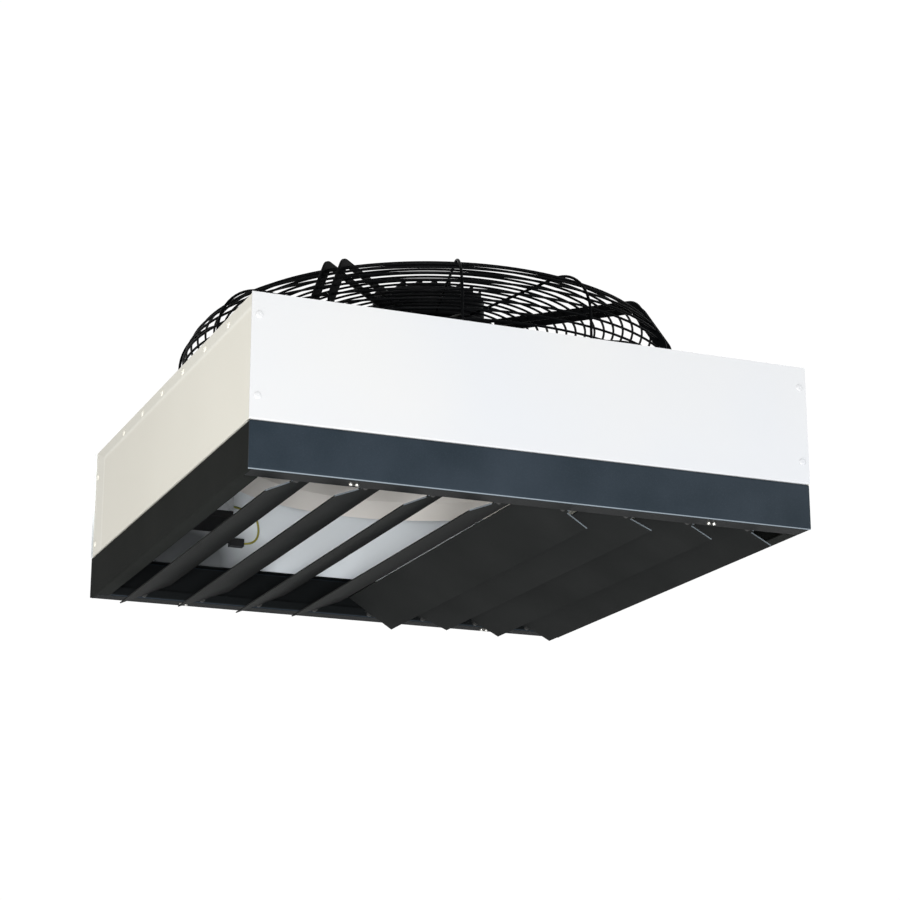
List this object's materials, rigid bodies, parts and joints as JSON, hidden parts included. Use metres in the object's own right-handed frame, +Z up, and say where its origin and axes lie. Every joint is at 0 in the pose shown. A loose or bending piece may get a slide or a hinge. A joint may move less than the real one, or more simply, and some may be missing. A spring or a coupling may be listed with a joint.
{
  "type": "air recirculation unit",
  "caption": "Square ceiling-hung air recirculation unit: axial fan with wire guard on top, white casing on a dark plinth, turnable louvre blades below.",
  "frame": {"origin": "middle of the four suspension nuts, on the upper face of the top plate", "axes": "+X to the right along the front, +Y to the back, +Z up, out of the suspension nuts"},
  "size_m": [0.7018, 0.7233, 0.3777],
  "materials": {
    "white_paint": "smooth satin powder coat",
    "plinth_paint": "fine textured powder coat",
    "galvanised_sheet": "galvanised",
    "zinc_plated_steel": "zinc plated",
    "guard_black": "satin black coat on wire",
    "motor_black": "satin black coat on cast metal",
    "blade_black": "matt black coat",
    "black_plastic": "moulded",
    "cable_black": "matt sheath",
    "earth_yellow_green": "striped insulation",
    "louvre_paint": "fine textured powder coat",
    "pin_nylon": "grey nylon"
  },
  "bodies": {
    "casing": {"front_panel": "white_paint", "rear_panel": "white_paint", "left_side_panel": "white_paint", "right_side_panel": "white_paint", "top_plate": "galvanised_sheet", "corner_angles": "galvanised_sheet", "panel_rivets": "white_paint", "side_rivets": "white_paint", "suspension_nuts": "zinc_plated_steel", "inlet_nozzle": "white_paint", "plinth_front": "plinth_paint", "plinth_rear": "plinth_paint", "plinth_left": "plinth_paint", "plinth_right": "plinth_paint", "plinth_brackets": "galvanised_sheet", "rim_screws": "zinc_plated_steel", "guard_base_ring": "guard_black", "guard_side_rings": "guard_black", "guard_shoulder_rings": "guard_black", "guard_top_rings": "guard_black", "guard_support_bars": "guard_black", "guard_thin_wires": "guard_black", "guard_feet": "zinc_plated_steel", "guard_screws": "zinc_plated_steel", "motor_mount_ring": "guard_black", "electronics_housing": "motor_black", "stator": "motor_black", "bearings": "zinc_plated_steel", "terminal_box": "galvanised_sheet", "terminal_lid": "black_plastic", "plate_gland": "black_plastic", "housing_gland": "black_plastic", "motor_lead": "cable_black", "lead_clips": "black_plastic", "supply_gland": "black_plastic", "inner_connector": "black_plastic", "earth_lead": "earth_yellow_green", "control_lead": "cable_black"},
    "fan_rotor": {"rotor_can": "motor_black", "rotor_shaft": "zinc_plated_steel", "impeller_hub": "motor_black", "fan_blades": "blade_black"},
    "louvre_1": {"louvre_1": "louvre_paint", "louvre_1_pins": "pin_nylon"},
    "louvre_2": {"louvre_2": "louvre_paint", "louvre_2_pins": "pin_nylon"},
    "louvre_3": {"louvre_3": "louvre_paint", "louvre_3_pins": "pin_nylon"},
    "louvre_4": {"louvre_4": "louvre_paint", "louvre_4_pins": "pin_nylon"},
    "louvre_5": {"louvre_5": "louvre_paint", "louvre_5_pins": "pin_nylon"},
    "louvre_6": {"louvre_6": "louvre_paint", "louvre_6_pins": "pin_nylon"},
    "louvre_7": {"louvre_7": "louvre_paint", "louvre_7_pins": "pin_nylon"},
    "louvre_8": {"louvre_8": "louvre_paint", "louvre_8_pins": "pin_nylon"}
  },
  "joints": [
    {"name": "fan_spin", "type": "hinge", "parent": "casing", "child": "fan_rotor", "pos_m": [0, 0, 0.03], "axis": [0, 0, 1], "continuous": true},
    {"name": "louvre_1_tilt", "type": "hinge", "parent": "casing", "child": "louvre_1", "pos_m": [-0.2828, 0, -0.198], "axis": [0, 1, 0], "range_deg": [-155.9, 24.1]},
    {"name": "louvre_2_tilt", "type": "hinge", "parent": "casing", "child": "louvre_2", "pos_m": [-0.202, 0, -0.198], "axis": [0, 1, 0], "range_deg": [-159.4, 20.6]},
    {"name": "louvre_3_tilt", "type": "hinge", "parent": "casing", "child": "louvre_3", "pos_m": [-0.1212, 0, -0.198], "axis": [0, 1, 0], "range_deg": [-156.3, 23.7]},
    {"name": "louvre_4_tilt", "type": "hinge", "parent": "casing", "child": "louvre_4", "pos_m": [-0.0404, 0, -0.198], "axis": [0, 1, 0], "range_deg": [-159, 21]},
    {"name": "louvre_5_tilt", "type": "hinge", "parent": "casing", "child": "louvre_5", "pos_m": [0.0404, 0, -0.198], "axis": [0, 1, 0], "range_deg": [-32.4, 147.6]},
    {"name": "louvre_6_tilt", "type": "hinge", "parent": "casing", "child": "louvre_6", "pos_m": [0.1212, 0, -0.198], "axis": [0, 1, 0], "range_deg": [-22.6, 157.4]},
    {"name": "louvre_7_tilt", "type": "hinge", "parent": "casing", "child": "louvre_7", "pos_m": [0.202, 0, -0.198], "axis": [0, 1, 0], "range_deg": [-27.5, 152.5]},
    {"name": "louvre_8_tilt", "type": "hinge", "parent": "casing", "child": "louvre_8", "pos_m": [0.2828, 0, -0.198], "axis": [0, 1, 0], "range_deg": [-27.5, 152.5]}
  ]
}
